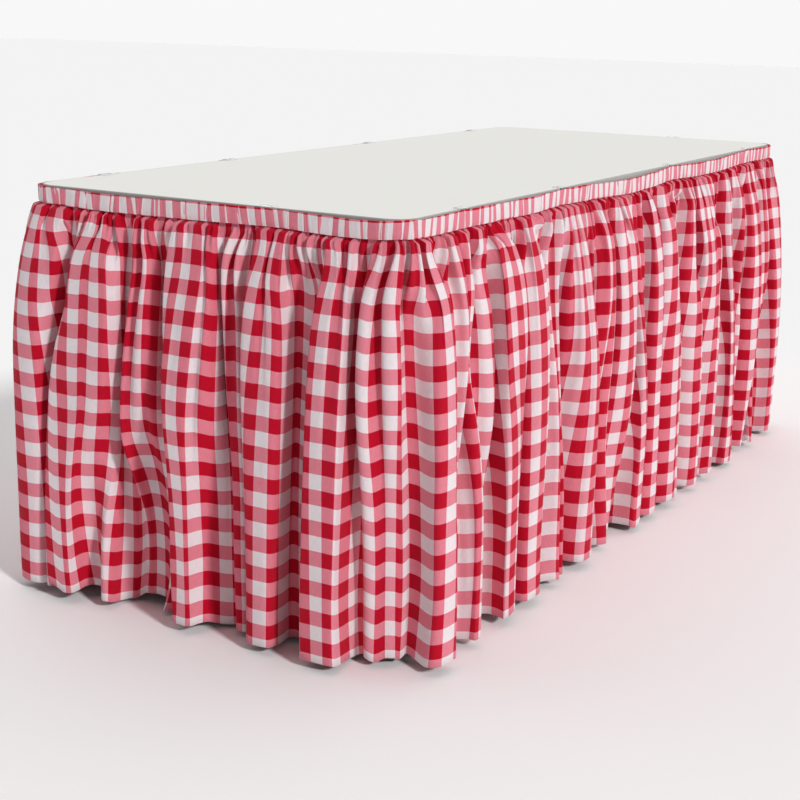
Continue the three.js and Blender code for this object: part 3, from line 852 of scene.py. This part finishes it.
def zincPlate():
    # pressed steel, bright zinc plated: blue-white metal with a patchy spangle and rolling lines
    material, tree = newMaterial("brightZincPlatedSteel")
    place = addNode(tree, "TexCoord", output="Object")
    patch = addNode(tree, "TexNoise", {"Vector": place, "Scale": 90.0, "Detail": 5.0, "Roughness": 0.7})
    rolledPlace = addNode(tree, "Mapping", {0: place, 3: (8, 700, 700)})
    rolled = addNode(tree, "TexNoise", {"Vector": rolledPlace, "Scale": 1.0, "Detail": 2.0})
    plate = addNode(tree, "Mix", {0: patch, 6: linear("#A9AEB4"), 7: linear("#D3D5D2")}, 2, data_type="RGBA")
    gloss = addNode(tree, "Math", {0: patch, 1: 0.3, 2: 0.2}, operation="MULTIPLY_ADD")
    relief = addNode(tree, "Bump", {"Height": rolled, "Distance": 0.0001, "Strength": 0.5})
    shader = addNode(tree, "BsdfPrincipled", {
        "Base Color": plate, "Roughness": gloss, "Normal": relief, "Metallic": 1.0})
    addNode(tree, "OutputMaterial", {"Surface": shader})
    return material


cloth = ginghamCloth()
# brushed nylon loops, knitted: dull and even
tapeFabric = plainMaterial("knittedNylonLoopTape", "#E9E9E6", 0.9, 900, 0.2)
# melamine laminate pressed on a fine matt plate: off-white, almost flat, a little sheen
laminate = plainMaterial("pressedMelamineLaminate", "#EBEAE4", 0.42, 260, 0.05, bump=0.0001)
# extruded vinyl: a plain mid grey, a little duller than the laminate. The grey is partly the vinyl's own
# colour and partly painted shade, standing in for the shadow line along the top's edge above the heading
greyVinylWithPaintedShade = plainMaterial("vinylMouldingGreyPaintedShade", "#A9A9A6", 0.45, 300, 0.05)
plywood = plywoodSheet()
timber = pineRunner()
paintedSteel = powderCoat()
zincSteel = zincPlate()
# moulded natural rubber: near black, matt and slightly pitted
rubber = plainMaterial("mouldedNaturalRubber", "#1B1B1C", 0.8, 400, 0.2)
clearPlastic = clearClip()

materialOfSlot = {
    "laminate": laminate, "plywood": plywood, "vinyl_edge": greyVinylWithPaintedShade, "timber": timber,
    "frame_steel": paintedSteel, "zinc_steel": zincSteel, "black_rubber": rubber,
    "white_tape": tapeFabric, "clear_plastic": clearPlastic,
}


def dressNodes():
    slots = {part["node"]: part["material_slot"] for part in frame["record"]["subparts"]}
    for name, node in frame["nodes"].items():
        material = materialOfSlot.get(slots[name])
        if material is None:
            continue
        node.data.materials.clear()
        node.data.materials.append(material)


studio = {
    "camera": (-2.890, -1.531, 1.048),  # left of the table, a little in front of it
    "yaw": 59.73, "pitch": 14.49, "roll": 1.22,  # degrees from +Y, downwards, and anticlockwise
    "lens": 68.2,
    "backdropSide": (0.85, 0.49, 0.15),  # the brighter side of the light dome, behind and above the table
    "domeDim": 0.08, "domeBright": 0.94,
    "domeBlend": 0.35,  # how gradually the dome goes from dim to bright
    "floorSize": 30,
    # a spread in degrees: the wider, the softer the shadow's edge
    "key": {"from": (-1.3, -3.2, 2.1), "strength": 2.02, "spread": 7},
    "fill": {"from": (-3.2, -1.8, 1.9), "strength": 0.06, "spread": 20},
}


def setCamera():
    yaw, pitch, roll = (math.radians(studio[key]) for key in ("yaw", "pitch", "roll"))
    forward = Vector((math.cos(pitch) * math.sin(yaw), math.cos(pitch) * math.cos(yaw), -math.sin(pitch)))
    right = forward.cross(Vector((0, 0, 1))).normalized()
    up = right.cross(forward)
    rolledRight = math.cos(roll) * right + math.sin(roll) * up
    rolledUp = -math.sin(roll) * right + math.cos(roll) * up
    data = bpy.data.cameras.new("studioCamera")
    data.lens = studio["lens"]
    data.sensor_width = 36
    camera = bpy.data.objects.new("studioCamera", data)
    turn = Matrix((rolledRight, rolledUp, -forward)).transposed()
    camera.matrix_world = Matrix.Translation(studio["camera"]) @ turn.to_4x4()
    bpy.context.scene.collection.objects.link(camera)
    bpy.context.scene.camera = camera


def addSun(name):
    lamp = bpy.data.lights.new(name, "SUN")
    lamp.energy = studio[name]["strength"]
    lamp.angle = math.radians(studio[name]["spread"])
    holder = bpy.data.objects.new(name, lamp)
    holder.rotation_euler = (-Vector(studio[name]["from"])).to_track_quat("-Z", "Y").to_euler()
    bpy.context.scene.collection.objects.link(holder)


def setStudio():
    # a wide white dome, brighter behind the table, and two soft far lamps before it
    world = bpy.data.worlds.new("paleStudio")
    world.use_nodes = True
    tree = world.node_tree
    background = tree.nodes["Background"]
    background.inputs[0].default_value = linear("#FFFFFF")
    towards = addNode(tree, "TexCoord", output="Generated")
    facing = addNode(tree, "VectorMath", {
        0: towards, 1: studio["backdropSide"]}, "Value", operation="DOT_PRODUCT")
    level = addNode(tree, "MapRange", {
        0: facing, 1: -studio["domeBlend"], 2: studio["domeBlend"],
        3: studio["domeDim"], 4: studio["domeBright"]})
    tree.links.new(level, background.inputs[1])
    bpy.context.scene.world = world
    addSun("key")
    addSun("fill")
    bpy.context.scene.view_settings.view_transform = "Standard"
    floorMesh = bmesh.new()
    bmesh.ops.create_grid(floorMesh, x_segments=1, y_segments=1, size=studio["floorSize"])
    data = bpy.data.meshes.new("studioFloor")
    floorMesh.to_mesh(data)
    floorMesh.free()
    floor = bpy.data.objects.new("studioFloor", data)
    material, tree = newMaterial("paleStudioFloor")
    shader = addNode(tree, "BsdfPrincipled", {"Base Color": linear("#FDFDFD"), "Roughness": 0.9})
    addNode(tree, "OutputMaterial", {"Surface": shader})
    data.materials.append(material)
    bpy.context.scene.collection.objects.link(floor)


setCamera()
setStudio()
dressNodes()

skirtNodes = [name for name in frame["nodes"] if name.startswith("skirt_") and "clip" not in name]
for number, (piece, flat) in enumerate(buildSkirt(cloth)):
    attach(piece, "table")
    if number == 0:
        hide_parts(*skirtNodes)
print("skirt hung")

sheet, moulding = makeTopPieces(laminate, greyVinylWithPaintedShade)
for piece, node, slot in ((sheet, "top_laminate", "laminate"), (moulding, "edge_moulding", "vinyl_edge")):
    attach(piece, "table")
    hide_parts(node)
print("top edged")

for end in ("left", "right"):
    standing = [f"leg_tube_{end}_front", f"leg_tube_{end}_back", f"cross_tube_{end}", f"pivot_tube_{end}"]
    for node in standing:
        tubePiece = makeTube(node, paintedSteel)
        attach(tubePiece, f"leg_set_{end}")
        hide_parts(node)
    for node in (f"foot_cap_{end}_front", f"foot_cap_{end}_back"):
        cap = makeFootCap(node, rubber)
        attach(cap, f"leg_set_{end}")
        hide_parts(node)
print("legs smoothed")

band, flat = buildHeading(cloth)
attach(band, "table")
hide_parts("header_band")
tape, flat = buildTape(tapeFabric)
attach(tape, "table")
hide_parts("loop_tape")
print("heading and tape sewn on")
